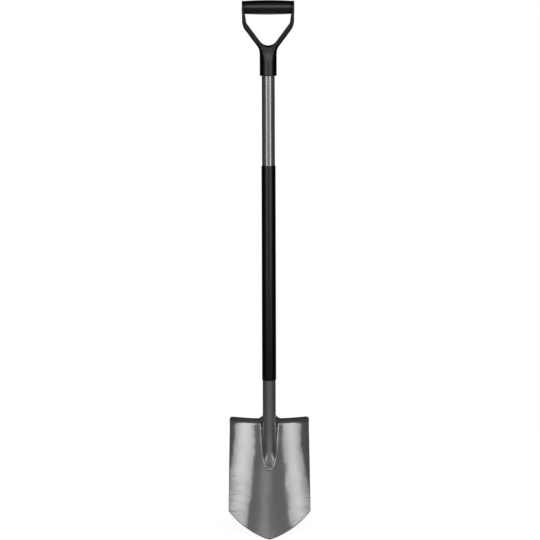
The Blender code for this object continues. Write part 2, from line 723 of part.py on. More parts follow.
def main():
    clear_scene()
    steel = make_material("blade_steel", (0.42, 0.41, 0.415), 0.28, 1.0)
    paint = make_material("graphite_paint", (0.13, 0.125, 0.128), 0.38, 0.6)
    weld_steel = make_material("weld_steel", (0.30, 0.29, 0.295), 0.35, 1.0)
    sleeve_plastic = make_material("sleeve_plastic", (0.015, 0.015, 0.016), 0.5, 0.0)
    handle_plastic = make_material("handle_plastic", (0.02, 0.02, 0.02), 0.5, 0.0)
    grip_plastic = make_material("grip_plastic", (0.022, 0.022, 0.023), 0.45, 0.0)
    rivet_steel = make_material("rivet_steel", (0.55, 0.55, 0.55), 0.3, 1.0)
    cutter = blade_cutter("blade_cutter", WELD_GAP)
    pieces = [
        blade(steel),
        shaft_tube(paint, cutter),
        foot_weld(weld_steel, cutter),
        neck_weld(weld_steel),
        shaft_sleeve(sleeve_plastic),
        handle_yoke(handle_plastic),
        handle_grip(grip_plastic),
        handle_rivet(rivet_steel),
    ]
    stand_on_origin(pieces)


main()
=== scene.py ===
"""Dresses the pointed spade for rendering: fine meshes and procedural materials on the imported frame."""

import math

import bmesh
import bpy
import numpy as np
from mathutils import Matrix, Vector, noise


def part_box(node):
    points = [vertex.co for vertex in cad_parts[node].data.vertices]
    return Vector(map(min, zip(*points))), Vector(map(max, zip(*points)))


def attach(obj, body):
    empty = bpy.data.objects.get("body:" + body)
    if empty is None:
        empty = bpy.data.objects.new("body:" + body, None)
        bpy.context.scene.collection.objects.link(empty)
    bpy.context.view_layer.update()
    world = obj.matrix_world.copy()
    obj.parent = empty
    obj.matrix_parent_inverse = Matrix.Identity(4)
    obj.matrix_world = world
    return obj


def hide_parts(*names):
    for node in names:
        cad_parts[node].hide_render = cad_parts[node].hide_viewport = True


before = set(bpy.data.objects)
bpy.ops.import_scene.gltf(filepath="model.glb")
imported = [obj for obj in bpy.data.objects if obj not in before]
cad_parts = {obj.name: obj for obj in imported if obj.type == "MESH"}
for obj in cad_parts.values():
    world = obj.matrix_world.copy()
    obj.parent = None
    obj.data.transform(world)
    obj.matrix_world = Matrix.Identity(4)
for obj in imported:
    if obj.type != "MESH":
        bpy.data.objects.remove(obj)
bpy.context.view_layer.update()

# Where the shaft lies in the frame
SLEEVE_LOW, SLEEVE_HIGH = (Vector(corner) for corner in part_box("shaft_sleeve"))
TUBE_HIGH = Vector(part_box("shaft_tube")[1])
AXIS_Y = (SLEEVE_LOW.y + SLEEVE_HIGH.y) / 2

# Blade
SIDE_TAPER = 0.0034
SHOULDER_HALF_WIDTH = 0.0881
BLADE_TOP_HALF_WIDTH = SHOULDER_HALF_WIDTH - SIDE_TAPER
SHOULDER_HEIGHT = 0.0678
POINT_ARC_RADIUS = 0.185
POINT_NOSE_RADIUS = 0.004
BEND_HEIGHT = 0.2424
SHEET_THICKNESS = 0.002
DISH_RADIUS_TOP = 0.178
DISH_RADIUS_POINT = 0.300
DISH_FLATTENING = 1.7
FACE_SETBACK = 0.0050
BLADE_TILT = math.radians(10)
BLADE_BOW = 0.003
GRIND_WIDTH = 0.005
EDGE_THICKNESS = 0.0008
EDGE_CHAMFER_WIDTH = 0.0018
EDGE_CHAMFER_DEPTH = 0.0008
RIM_ROUND = 0.0004
TREAD_BEND_RADIUS = 0.0155
TREAD_ANGLE = math.radians(66)
TREAD_SHEET_LENGTH = 0.0210
TREAD_RISE = 0.0077
TREAD_CORNER_RADIUS = 0.008
TONGUE_REACH = 0.026
TONGUE_EXTRA_LENGTH = 0.0025
TONGUE_FLAT_REACH = 0.009
WAVE_DEPTH = 0.00017
WAVE_SCALE = 32.0
TROUGH_LENGTH = 0.080
TROUGH_REACH_TOP = 0.021
TROUGH_REACH_END = 0.013

# Shaft tube and foot
TUBE_RADIUS = 0.0143
TUBE_WALL = 0.0015
SHAFT_LENGTH = 0.902
FOOT_LENGTH = 0.0985
FOOT_HALF_WIDTH = 0.0187
FOOT_FLARE_LENGTH = 0.090
FOOT_FULLNESS = 1.9
FOOT_TAPER = 0.57
FOOT_LEAN = 0.0058
FOOT_LEAN_GROWTH = 1.9
FOOT_TOP_FADE = 0.014
FOOT_EDGE = 0.0012
FOOT_BLEND_LENGTH = 0.010
FOOT_TIP_HEIGHT = BEND_HEIGHT - FOOT_LENGTH
NOSE_LENGTH = 0.044
NOSE_BLEND = 0.024
NOSE_RADIUS = 0.030
NOSE_END_LENGTH = 0.006
NOSE_CROWN_SHARE = 0.92
CROWN_SHARE = 0.72
CROWN_REACH_LIMIT = math.radians(80)
TOE_ANGLE = math.radians(18)
NOSE_TOE_ANGLE = math.radians(48)
DIMPLE_HEIGHT = 0.0100
DIMPLE_SIZE = (0.0028, 0.0046, 0.0036)
DROP_HEIGHT = 0.0088
DROP_SIZE = (0.0011, 0.0022, 0.0030)
TUBE_TOP_HEIGHT = FOOT_TIP_HEIGHT + SHAFT_LENGTH
FRONT_REACH = math.radians(112)
SEAT_GAP = 0.0003
WELD_GAP = 0.0002
WELD_RADIUS = 0.0011
WELD_TIP_OVERLAP = 0.0011
WELD_TIP_LENGTH = 0.032
WELD_SPACING = 0.00045
WELD_RIPPLE_LENGTH = 0.0021
NECK_WELD_HALF_ANGLE = math.radians(52)
NECK_WELD_HEIGHT = 0.0040
NECK_WELD_WIDTH = 0.0044
NECK_WELD_RIPPLE = 0.06

# Heights here are measured from the blade's point; this is how far that lies above the frame's origin
RISE = TUBE_HIGH.z - TUBE_TOP_HEIGHT

# D handle
COLLAR_RADIUS = 0.0184
SOCKET_DEPTH = 0.0478
COLLAR_CHAMFER = 0.0022
CROTCH_THICKNESS = 0.0176
CROTCH_RADIUS = 0.0216
YOKE_HALF_WIDTH = 0.056
YOKE_HALF_DEPTH = 0.0140
ARM_THICKNESS = 0.0113
ARM_LEAN = math.radians(36.8)
ARM_BEND_RADIUS = 0.0355
ARM_KNEE_RADIUS = 0.013
ARM_TOP_THICKNESS = 0.0070
ARM_ROOT_FILLET = 0.0225
ARM_EDGE_ROUND = 0.0023
WEB_EDGE_ROUND = 0.0085
WEB_ROUND_HEIGHT = 0.014
WEB_ROUND_LENGTH = 0.034
WEB_HALF_WIDTH = 0.017
FACET_HEIGHT = 0.012
FACET_BLEND = 0.006
ARM_BLEND = 0.0018
WEB_BLEND = 0.0050
BOSS_ROUND = 0.0005
BOSS_BLEND = 0.0012
OPENING_HEIGHT = 0.0653
GRIP_MID_RADIUS = 0.0155
GRIP_END_RADIUS = 0.0141
GRIP_CORE_RADIUS = 0.009
GRIP_END_STEP = 0.0006
SOCKET_FLOOR_HEIGHT = TUBE_TOP_HEIGHT + SEAT_GAP
COLLAR_END_HEIGHT = SOCKET_FLOOR_HEIGHT - SOCKET_DEPTH
CROTCH_HEIGHT = SOCKET_FLOOR_HEIGHT + CROTCH_THICKNESS
GRIP_AXIS_HEIGHT = CROTCH_HEIGHT + OPENING_HEIGHT + GRIP_MID_RADIUS
RIVET_HEIGHT = COLLAR_END_HEIGHT + 0.0184
RIVET_HEAD_RADIUS = 0.0040
RIVET_HEAD_RISE = 0.0015
RIVET_SHANK_RADIUS = 0.0020
RIVET_TAIL_RADIUS = 0.0029
RIVET_BORE_RADIUS = 0.0012


def smoothstep(t):
    t = min(max(t, 0.0), 1.0)
    return t * t * (3 - 2 * t)


def steps(start, end, count):
    return [start + (end - start) * i / count for i in range(count + 1)]


def make_piece(name, points, faces, replaced, material, sharp=math.radians(40)):
    """A mesh piece in place of a CAD node; its points are measured from the shaft's axis."""
    mesh = bpy.data.meshes.new(name)
    mesh.from_pydata([(p[0], p[1] + AXIS_Y, p[2] + RISE) for p in points], [], faces)
    work = bmesh.new()
    work.from_mesh(mesh)
    bmesh.ops.remove_doubles(work, verts=work.verts, dist=1e-6)
    bmesh.ops.recalc_face_normals(work, faces=work.faces)
    if work.calc_volume(signed=True) < 0:
        bmesh.ops.reverse_faces(work, faces=work.faces)
    work.to_mesh(mesh)
    work.free()
    mesh.shade_smooth()
    mesh.set_sharp_from_angle(angle=sharp)
    mesh.materials.append(material)
    piece = bpy.data.objects.new(name, mesh)
    bpy.context.scene.collection.objects.link(piece)
    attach(piece, "root")
    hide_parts(replaced)
    return piece


def ring_faces(ring_count, side_count, closed=False):
    faces = []
    for i in range(ring_count if closed else ring_count - 1):
        following = (i + 1) % ring_count
        for j in range(side_count):
            beside = (j + 1) % side_count
            faces.append((i * side_count + j, i * side_count + beside,
                          following * side_count + beside, following * side_count + j))
    return faces


def lofted(rings):
    side_count = len(rings[0])
    points = [point for ring in rings for point in ring]
    faces = ring_faces(len(rings), side_count)
    faces.append(tuple(reversed(range(side_count))))
    faces.append(tuple(range((len(rings) - 1) * side_count, len(rings) * side_count)))
    return points, faces


def revolved(profile, sides, axis="Z", hollow=False):
    rings = []
    for radius, height in profile:
        ring = []
        for k in range(sides):
            angle = 2 * math.pi * k / sides
            a, b = radius * math.cos(angle), radius * math.sin(angle)
            ring.append({"X": (height, a, b), "Y": (a, height, b), "Z": (a, b, height)}[axis])
        rings.append(ring)
    if not hollow:
        return lofted(rings)
    points = [point for ring in rings for point in ring]
    return points, ring_faces(len(rings), sides, True)


# Materials

class Nodes:
    """Short calls for building a node tree."""

    def __init__(self, tree):
        self.tree = tree

    def add(self, kind, **settings):
        node = self.tree.nodes.new(kind)
        for key, value in settings.items():
            setattr(node, key, value)
        return node

    def link(self, source, target):
        self.tree.links.new(source, target)

    def put(self, value, target):
        if isinstance(value, (int, float)):
            target.default_value = value
        else:
            self.link(value, target)

    def split(self, vector):
        node = self.add("ShaderNodeSeparateXYZ")
        self.link(vector, node.inputs[0])
        return node.outputs

    def math(self, operation, a, b=0.0):
        node = self.add("ShaderNodeMath", operation=operation)
        self.put(a, node.inputs[0])
        self.put(b, node.inputs[1])
        return node.outputs[0]

    def noise(self, vector, scale, detail=3.0, roughness=0.5):
        node = self.add("ShaderNodeTexNoise")
        self.link(vector, node.inputs["Vector"])
        node.inputs["Scale"].default_value = scale
        node.inputs["Detail"].default_value = detail
        node.inputs["Roughness"].default_value = roughness
        return node.outputs["Fac"]

    def between(self, value, low, high, to_low=0.0, to_high=1.0, **settings):
        node = self.add("ShaderNodeMapRange", **settings)
        self.put(value, node.inputs["Value"])
        sockets = ("From Min", "From Max", "To Min", "To Max")
        for socket, number in zip(sockets, (low, high, to_low, to_high)):
            node.inputs[socket].default_value = number
        return node.outputs["Result"]

    def mix_color(self, factor, a, b):
        node = self.add("ShaderNodeMix", data_type="RGBA")
        self.put(factor, node.inputs["Factor"])
        for value, socket in ((a, node.inputs["A"]), (b, node.inputs["B"])):
            if isinstance(value, tuple):
                socket.default_value = (*value, 1)
            else:
                self.link(value, socket)
        return node.outputs["Result"]

    def bump(self, height, distance, strength=1.0, normal=None):
        node = self.add("ShaderNodeBump")
        node.inputs["Strength"].default_value = strength
        node.inputs["Distance"].default_value = distance
        self.link(height, node.inputs["Height"])
        if normal:
            self.link(normal, node.inputs["Normal"])
        return node.outputs["Normal"]


class MaterialNodes(Nodes):
    """A new material's node tree, with its shader and its place on the object."""

    def __init__(self, name):
        self.material = bpy.data.materials.new(name)
        self.material.use_nodes = True
        super().__init__(self.material.node_tree)
        self.shader = self.tree.nodes["Principled BSDF"]
        self.place = self.add("ShaderNodeTexCoord").outputs["Object"]
        self.height = self.split(self.place)["Z"]

    def set(self, **values):
        for key, value in values.items():
            self.shader.inputs[key.replace("_", " ")].default_value = value

    def scaled_place(self, x, y, z):
        node = self.add("ShaderNodeMapping")
        node.inputs["Scale"].default_value = (x, y, z)
        self.link(self.place, node.inputs["Vector"])
        return node.outputs["Vector"]


def metallic_paint(name, color, roughness, painted_light_fade=None, brushing=0.0):
    """Graphite paint with fine metal flake: a little uneven, with soft scuffs.

    The height fade is (low, high, share at low, share at high): painted light, the paint made lighter or
    darker with height to stand for how light and highlights fall on it.
    brushing is the depth of fine marks that run across the sheet.
    """
    n = MaterialNodes(name)
    n.set(Metallic=0.7, Coat_Weight=0.1, Coat_Roughness=0.12, Coat_IOR=1.5)
    broad = n.noise(n.scaled_place(1, 1, 0.6), 14.0, 2.0)
    fine = n.noise(n.place, 900.0, 2.0)
    flake = n.noise(n.place, 2600.0, 1.0)
    dark = tuple(0.9 * c for c in color)
    light = tuple(1.08 * c for c in color)
    shade = n.mix_color(n.between(broad, 0.3, 0.7), dark, light)
    flaked = n.mix_color(n.between(flake, 0.62, 0.80, 0.0, 0.22), shade, (0.75, 0.74, 0.75))
    # Painted light: the colour is scaled with height
    if painted_light_fade:
        painted_light_scaled = n.add("ShaderNodeVectorMath", operation="SCALE")
        n.link(flaked, painted_light_scaled.inputs[0])
        n.link(n.between(n.height, *painted_light_fade), painted_light_scaled.inputs["Scale"])
        flaked = painted_light_scaled.outputs[0]
    n.link(flaked, n.shader.inputs["Base Color"])
    scuffs = n.noise(n.scaled_place(1, 1, 0.05), 420.0, 2.0)
    uneven = n.math("ADD", n.between(fine, 0.3, 0.7, -0.02, 0.02),
                    n.between(scuffs, 0.55, 0.75, 0.0, 0.03))
    n.link(n.math("ADD", uneven, roughness), n.shader.inputs["Roughness"])
    peel = n.noise(n.place, 700.0, 2.0)
    surface = n.bump(peel, 0.00001, 0.6)
    if brushing:
        surface = n.bump(n.noise(n.scaled_place(1, 1, 5), 50.0, 2.0), brushing, 1.0, surface)
    n.link(surface, n.shader.inputs["Normal"])
    return n.material


def moulded_plastic(name, color, roughness, grain, grain_scale, shine, painted_light_fade=None):
    """Black moulded plastic. Its fine spark-eroded grain takes the shine away at grazing angles.

    The height fade is (low, high, share at low, share at high): the shine turned down with height where less
    light falls, which is painted shade.
    """
    n = MaterialNodes(name)
    aside = n.add("ShaderNodeLayerWeight")
    aside.inputs["Blend"].default_value = 0.5
    level = n.between(aside.outputs["Facing"], 0.35, 0.9, shine, 0.12 * shine)
    # Painted shade: the shine is scaled with height
    if painted_light_fade:
        level = n.math("MULTIPLY", level, n.between(n.height, *painted_light_fade))
    n.link(level, n.shader.inputs["Specular IOR Level"])
    broad = n.noise(n.place, 22.0, 3.0)
    pits = n.noise(n.place, grain_scale, 3.0, 0.6)
    dark = tuple(0.75 * c for c in color)
    n.link(n.mix_color(n.between(broad, 0.3, 0.7), dark, color), n.shader.inputs["Base Color"])
    n.link(n.math("ADD", n.between(pits, 0.3, 0.7, -0.05, 0.05), roughness), n.shader.inputs["Roughness"])
    n.link(n.bump(pits, grain), n.shader.inputs["Normal"])
    return n.material


# The blade's paint is made lighter towards the point: painted light, where the tilted sheet faces the lamps
# more
BLADE_PAINT = metallic_paint("blade_graphite", (0.355, 0.348, 0.353), 0.10,
                             painted_light_fade=(0.04, 0.17, 1.10, 1.0), brushing=0.0001)
TUBE_PAINT = metallic_paint("tube_graphite", (0.39, 0.383, 0.388), 0.17)
# The weld bead is graphite paint whose colour is made near-white round the nose's tip: a painted highlight
WELD_PAINT_WITH_PAINTED_HIGHLIGHT = metallic_paint("weld_graphite_painted_highlight", (0.95, 0.94, 0.945), 0.26, painted_light_fade=(0.168, 0.182, 1.0, 0.42))
DEEP_BLACK = (0.0016, 0.0015, 0.0016)
# The sleeve's shine is turned down towards its lower end: painted shade, where less light reaches
SLEEVE_PLASTIC = moulded_plastic("sleeve_black", DEEP_BLACK, 0.32, grain=0.00002, grain_scale=1500.0,
                                 shine=0.72, painted_light_fade=(0.38, 0.56, 0.50, 1.0))
# The handle's shine is turned down from the collar's top up: painted shade on the web and arms, which get
# less light
HANDLE_PLASTIC = moulded_plastic("handle_black", DEEP_BLACK, 0.33, grain=0.00003, grain_scale=1300.0,
                                 shine=0.72, painted_light_fade=(1.040, 1.052, 1.0, 0.48))
GRIP_PLASTIC = moulded_plastic("grip_black", DEEP_BLACK, 0.34, grain=0.00002, grain_scale=1500.0, shine=0.70)
RIVET_STEEL = metallic_paint("rivet_zinc", (0.5, 0.5, 0.5), 0.3)


# Blade

def side_half_width(height):
    share = (height - SHOULDER_HEIGHT) / (BEND_HEIGHT - SHOULDER_HEIGHT)
    share = min(max(share, 0.0), 1.0)
    return SHOULDER_HALF_WIDTH + (BLADE_TOP_HALF_WIDTH - SHOULDER_HALF_WIDTH) * share


def point_edge_height(x):
    chord = math.hypot(SHOULDER_HALF_WIDTH, SHOULDER_HEIGHT)
    reach = math.sqrt(POINT_ARC_RADIUS ** 2 - (chord / 2) ** 2)
    centre_x = SHOULDER_HALF_WIDTH / 2 - reach * SHOULDER_HEIGHT / chord
    centre_z = SHOULDER_HEIGHT / 2 + reach * SHOULDER_HALF_WIDTH / chord
    blunt = math.hypot(x, POINT_NOSE_RADIUS) - POINT_NOSE_RADIUS
    return centre_z - math.sqrt(POINT_ARC_RADIUS ** 2 - (blunt - centre_x) ** 2)


def plain_face(height):
    below = BEND_HEIGHT - height
    return FACE_SETBACK - below * math.tan(BLADE_TILT) - BLADE_BOW * (below / BEND_HEIGHT) ** 2


def trough_floor(height):
    end = BEND_HEIGHT - TROUGH_LENGTH
    floor_top = TUBE_RADIUS + SEAT_GAP
    if height <= end:
        return plain_face(height)
    if height >= BEND_HEIGHT:
        return floor_top
    probe = 0.0001
    slope = (plain_face(end + probe) - plain_face(end - probe)) / (2 * probe)
    t = (height - end) / TROUGH_LENGTH
    rise = t ** 3 - 2 * t ** 2 + t
    return (plain_face(end) * (1 - smoothstep(t)) + slope * TROUGH_LENGTH * rise
            + floor_top * smoothstep(t))


def face_depth(x, height):
    below = min(max(1 - height / BEND_HEIGHT, 0.0), 1.0)
    radius = DISH_RADIUS_TOP + (DISH_RADIUS_POINT - DISH_RADIUS_TOP) * below ** DISH_FLATTENING
    dish = radius - math.sqrt(radius ** 2 - x ** 2)
    depth = plain_face(height) - dish
    along = min(max((height - BEND_HEIGHT + TROUGH_LENGTH) / TROUGH_LENGTH, 0.0), 1.0)
    reach = TROUGH_REACH_END + (TROUGH_REACH_TOP - TROUGH_REACH_END) * along
    if abs(x) < reach:
        depth += (trough_floor(height) - plain_face(height)) * math.cos(math.pi * x / (2 * reach)) ** 2
    return depth


def bend_line(x):
    return BEND_HEIGHT + TREAD_RISE * (x / BLADE_TOP_HALF_WIDTH) ** 2


def tread_length(x):
    into_corner = abs(x) - (BLADE_TOP_HALF_WIDTH - TREAD_CORNER_RADIUS)
    if into_corner <= 0:
        return TREAD_SHEET_LENGTH + TONGUE_EXTRA_LENGTH * (1 - smoothstep(abs(x) / TONGUE_REACH))
    into_corner = min(into_corner, TREAD_CORNER_RADIUS)
    rounded = math.sqrt(TREAD_CORNER_RADIUS ** 2 - into_corner ** 2)
    return TREAD_SHEET_LENGTH - TREAD_CORNER_RADIUS + rounded


def tread_point(x, along):
    start = bend_line(x)
    probe = 0.0002
    lean = math.atan((face_depth(x, start) - face_depth(x, start - probe)) / probe)
    turn = TREAD_ANGLE * smoothstep((abs(x) - TONGUE_FLAT_REACH) / (TONGUE_REACH - TONGUE_FLAT_REACH))
    turned_by = min(turn, along / TREAD_BEND_RADIUS)
    straight = along - turned_by * TREAD_BEND_RADIUS
    end = lean + turned_by
    y = face_depth(x, start) + TREAD_BEND_RADIUS * (math.cos(lean) - math.cos(end)) + straight * math.sin(end)
    z = start + TREAD_BEND_RADIUS * (math.sin(end) - math.sin(lean)) + straight * math.cos(end)
    return Vector((x, y, z))


def sheet_wave(point):
    """The slight waves that pressing leaves in the sheet."""
    broad = noise.noise(Vector((point.x, 0, 0.8 * point.z)) * WAVE_SCALE)
    fine = noise.noise(Vector((point.x, 0.5, point.z)) * 2.3 * WAVE_SCALE)
    return WAVE_DEPTH * (broad + 0.5 * fine)


def blade_piece():
    """The blade's sheet as two fine grids a sheet's thickness apart, with a rounded rim."""
    corner = 1 - TREAD_CORNER_RADIUS / BLADE_TOP_HALF_WIDTH
    inner = steps(0, TROUGH_REACH_TOP / BLADE_TOP_HALF_WIDTH, 22)
    right = inner + steps(inner[-1], corner, 22)[1:]
    right += [corner + (1 - corner) * s for s in (0.25, 0.45, 0.62, 0.76, 0.87, 0.95, 1.0)]
    columns = [-share for share in reversed(right[1:])] + right
    grind = GRIND_WIDTH / BEND_HEIGHT
    trough = 1 - TROUGH_LENGTH * 1.1 / BEND_HEIGHT
    row_shares = [0.0, EDGE_CHAMFER_WIDTH / BEND_HEIGHT, 0.6 * grind, grind]
    row_shares += steps(grind, trough, 34)[1:] + steps(trough, 1.0, 40)[1:]
    front = []
    for share in row_shares:
        row = []
        for column in columns:
            low = point_edge_height(column * SHOULDER_HALF_WIDTH)
            high = bend_line(column * BLADE_TOP_HALF_WIDTH)
            z = low + share * (high - low)
            x = column * side_half_width(z)
            row.append(Vector((x, face_depth(x, z), z)))
        front.append(row)
    for share in steps(0, 1, 18)[1:]:
        front.append([tread_point(c * BLADE_TOP_HALF_WIDTH, share * tread_length(c * BLADE_TOP_HALF_WIDTH))
                      for c in columns])
    front = [[point + Vector((0, sheet_wave(point), 0)) for point in row] for row in front]
    front[0] = [point + Vector((0, EDGE_CHAMFER_DEPTH, 0)) for point in front[0]]
    row_count, column_count = len(front), len(columns)
    back = []
    for i, row in enumerate(front):
        line = []
        for j, point in enumerate(row):
            up = front[min(i + 1, row_count - 1)][j] - front[max(i - 1, 0)][j]
            across = row[min(j + 1, column_count - 1)] - row[max(j - 1, 0)]
            ground = min(row_shares[i] / grind, 1.0) if i < len(row_shares) else 1.0
            thickness = EDGE_THICKNESS + (SHEET_THICKNESS - EDGE_THICKNESS) * ground
            line.append(point + up.cross(across).normalized() * thickness)
        back.append(line)
    points = [p for row in front for p in row] + [p for row in back for p in row]
    behind = row_count * column_count
    faces = []
    for i in range(row_count - 1):
        for j in range(column_count - 1):
            a, b = i * column_count + j, (i + 1) * column_count + j
            faces.append((a, a + 1, b + 1, b))
            faces.append((behind + a, behind + b, behind + b + 1, behind + a + 1))
    rim = list(range(column_count))
    rim += [i * column_count + column_count - 1 for i in range(1, row_count)]
    rim += [(row_count - 1) * column_count + j for j in reversed(range(column_count - 1))]
    rim += [i * column_count for i in reversed(range(1, row_count - 1))]
    for a, b in zip(rim, rim[1:] + rim[:1]):
        faces.append((a, behind + a, behind + b, b))
    piece = make_piece("blade_sheet", points, faces, "blade", BLADE_PAINT)
    rounding = piece.modifiers.new("rim_round", "BEVEL")
    rounding.width = RIM_ROUND
    rounding.segments = 3
    rounding.limit_method = "ANGLE"
    rounding.angle_limit = math.radians(50)
    return piece


# Shaft tube

def foot_lean(height):
    """How far the tube's lower end bends forward with the blade."""
    return FOOT_LEAN * (max(BEND_HEIGHT - height, 0.0) / FOOT_LENGTH) ** FOOT_LEAN_GROWTH


def nose_share(height):
    return smoothstep((FOOT_TIP_HEIGHT + NOSE_LENGTH - height) / NOSE_BLEND)


def crown_radius(height):
    return TUBE_RADIUS + (NOSE_RADIUS - TUBE_RADIUS) * nose_share(height)


def crown_front(height):
    """The foot's foremost line, which rounds down to the blade at the tip."""
    front = -TUBE_RADIUS - foot_lean(height)
    into = max(FOOT_TIP_HEIGHT + NOSE_END_LENGTH - height, 0.0) / NOSE_END_LENGTH
    if into:
        drop = face_depth(0, height) - FOOT_EDGE - front
        front += drop * (1 - math.sqrt(max(1 - into ** 2, 0.0)))
    return front


def on_crown(angle, height):
    radius = crown_radius(height)
    return Vector((radius * math.sin(angle), crown_front(height) + radius * (1 - math.cos(angle)), height))


def on_tube(angle, height):
    return Vector((TUBE_RADIUS * math.sin(angle), -TUBE_RADIUS * math.cos(angle), height))


def foot_half_width(height):
    left_over = 1 - min(max((height - FOOT_TIP_HEIGHT) / FOOT_FLARE_LENGTH, 0.0), 1.0)
    full = FOOT_HALF_WIDTH * (1 - left_over ** FOOT_FULLNESS) ** FOOT_TAPER
    painted_light_fade = smoothstep((height - BEND_HEIGHT + FOOT_TOP_FADE) / FOOT_TOP_FADE)
    return full + (TUBE_RADIUS + SEAT_GAP - full) * painted_light_fade


def foot_half_section(height, count):
    """Half of the foot's front at a height: over the crown, then down its flank to the toe."""
    toe_x = foot_half_width(height)
    toe = Vector((toe_x, face_depth(toe_x, height) - FOOT_EDGE, height))
    nose = nose_share(height)
    share = CROWN_SHARE + (NOSE_CROWN_SHARE - CROWN_SHARE) * nose
    leave = math.asin(min(share * toe_x / crown_radius(height), math.sin(CROWN_REACH_LIMIT)))
    start = on_crown(leave, height)
    heading = Vector((math.cos(leave), math.sin(leave), 0))
    landing = TOE_ANGLE + (NOSE_TOE_ANGLE - TOE_ANGLE) * nose
    reach = (toe - start).length
    first = start + heading * 0.45 * reach
    second = toe - Vector((math.cos(landing), math.sin(landing), 0)) * 0.40 * reach
    points = [on_crown(leave * k / count, height) for k in range(count)]
    for k in range(count + 1):
        t = k / count
        u = 1 - t
        points.append(start * u ** 3 + first * 3 * u * u * t + second * 3 * u * t * t + toe * t ** 3)
    return points


def mound(x, above, size):
    """A soft round mound: size is its reach across, its reach up and its depth."""
    return size[2] * math.exp(-(x / size[0]) ** 2 - (above / size[1]) ** 2)


def nose_mark(x, height):
    """The dimple at the nose, with the drop of weld that lies in it."""
    above_tip = height - FOOT_TIP_HEIGHT
    return mound(x, above_tip - DIMPLE_HEIGHT, DIMPLE_SIZE) - mound(x, above_tip - DROP_HEIGHT, DROP_SIZE)


def whole_ring(right, height, blend, back_count):
    """A section of the shaft from the right half of its front."""
    left = [Vector((-p.x, p.y, p.z)) for p in right[1:]]
    return right + ring_back(right[-1].x, height, blend, back_count) + list(reversed(left))


def ring_back(toe_x, height, blend, count):
    """The back of a section, from its right end to its left one."""
    points = []
    for k in range(1, count):
        share = 1 - 2 * k / count
        angle = math.pi - (math.pi - FRONT_REACH) * share
        x = toe_x * share
        flat = Vector((x, face_depth(x, height) - WELD_GAP, height))
        points.append(flat.lerp(on_tube(angle, height), blend))
    return points


def tube_piece():
    """The shaft: a tube whose foot flares onto the blade and ends in a flattened nose."""
    count, back_count = 24, 24
    rings = []
    foot_top = BEND_HEIGHT - WELD_GAP
    for share in steps(0, 1, 96)[1:]:
        height = FOOT_TIP_HEIGHT + (foot_top - FOOT_TIP_HEIGHT) * share ** 1.5
        blend = smoothstep((height - foot_top + FOOT_BLEND_LENGTH) / FOOT_BLEND_LENGTH)
        right = []
        for k, point in enumerate(foot_half_section(height, count)):
            place = point.lerp(on_tube(FRONT_REACH * k / (2 * count), height), blend)
            place.y = min(place.y + nose_mark(place.x, height), face_depth(place.x, height) - WELD_GAP)
            right.append(place)
        rings.append(whole_ring(right, height, blend, back_count))
    for height in steps(foot_top + 0.0015, TUBE_TOP_HEIGHT, 60):
        right = [on_tube(FRONT_REACH * k / (2 * count), height) for k in range(2 * count + 1)]
        rings.append(whole_ring(right, height, 1.0, back_count))
    points, faces = lofted(rings)
    return make_piece("shaft_tube_formed", points, faces, "shaft_tube", TUBE_PAINT)


def foot_outline():
    """Places round the foot, each with the direction that points away from it."""
    fade_height = BEND_HEIGHT - FOOT_TOP_FADE
    climb = fade_height - FOOT_TIP_HEIGHT
    heights = [FOOT_TIP_HEIGHT + climb * share ** 2 for share in steps(0, 1, 60)]
    heights += steps(fade_height, BEND_HEIGHT - 0.005, 12)[1:]
    right = [Vector((foot_half_width(height), 0, height)) for height in heights]
    line = [Vector((-p.x, 0, p.z)) for p in reversed(right[1:])] + right
    outline = []
    for i, place in enumerate(line):
        run = (line[min(i + 1, len(line) - 1)] - line[max(i - 1, 0)]).normalized()
        outline.append((place, Vector((run.z, 0, -run.x))))
    return outline


def even_path(path, spacing):
    """The same line with points a fixed distance apart."""
    lengths = [0.0]
    for a, b in zip(path, path[1:]):
        lengths.append(lengths[-1] + (b - a).length)
    count = max(2, round(lengths[-1] / spacing))
    result, i = [], 0
    for k in range(count + 1):
        target = lengths[-1] * k / count
        while i < len(path) - 2 and lengths[i + 1] < target:
            i += 1
        span = lengths[i + 1] - lengths[i]
        result.append(path[i].lerp(path[i + 1], (target - lengths[i]) / span))
    return result


def weld_to_tip(height):
    return smoothstep((FOOT_TIP_HEIGHT + NOSE_LENGTH - height) / NOSE_LENGTH)


def foot_weld_piece():
    """The rippled bead round the foot: low and narrow up its sides, high and wide round its tip."""
    path = []
    for toe, out in foot_outline():
        place = toe + out * (WELD_RADIUS + WELD_GAP)
        to_tip = weld_to_tip(place.z)
        place -= out * WELD_TIP_OVERLAP * to_tip
        place.y = face_depth(place.x, place.z) - (0.05 + 1.65 * to_tip ** 2) * WELD_RADIUS
        path.append(place)
    path = even_path(path, WELD_SPACING)
    rings = []
    for i, place in enumerate(path):
        run = (path[min(i + 1, len(path) - 1)] - path[max(i - 1, 0)]).normalized()
        flat = run.cross(Vector((0, 1, 0))).normalized()
        rise = run.cross(flat).normalized()
        beside = smoothstep((abs(place.x) - 0.002) / 0.006)
        near_tip = smoothstep((FOOT_TIP_HEIGHT + WELD_TIP_LENGTH - place.z) / 0.020)
        swell = near_tip * (0.45 + 0.55 * beside)
        ripple = 0.58 + 0.08 * math.sin(2 * math.pi * i * WELD_SPACING / WELD_RIPPLE_LENGTH) + 1.35 * swell
        height = 0.40 + 0.60 * weld_to_tip(place.z)
        ring = []
        for k in range(14):
            angle = 2 * math.pi * k / 14
            point = place + WELD_RADIUS * ripple * (flat * math.cos(angle) + height * rise * math.sin(angle))
            point.y = min(point.y, face_depth(point.x, point.z) - WELD_GAP / 2)
            ring.append(point)
        rings.append(ring)
    points, faces = lofted(rings)
    return make_piece("foot_weld_bead", points, faces, "foot_weld", WELD_PAINT_WITH_PAINTED_HIGHLIGHT)


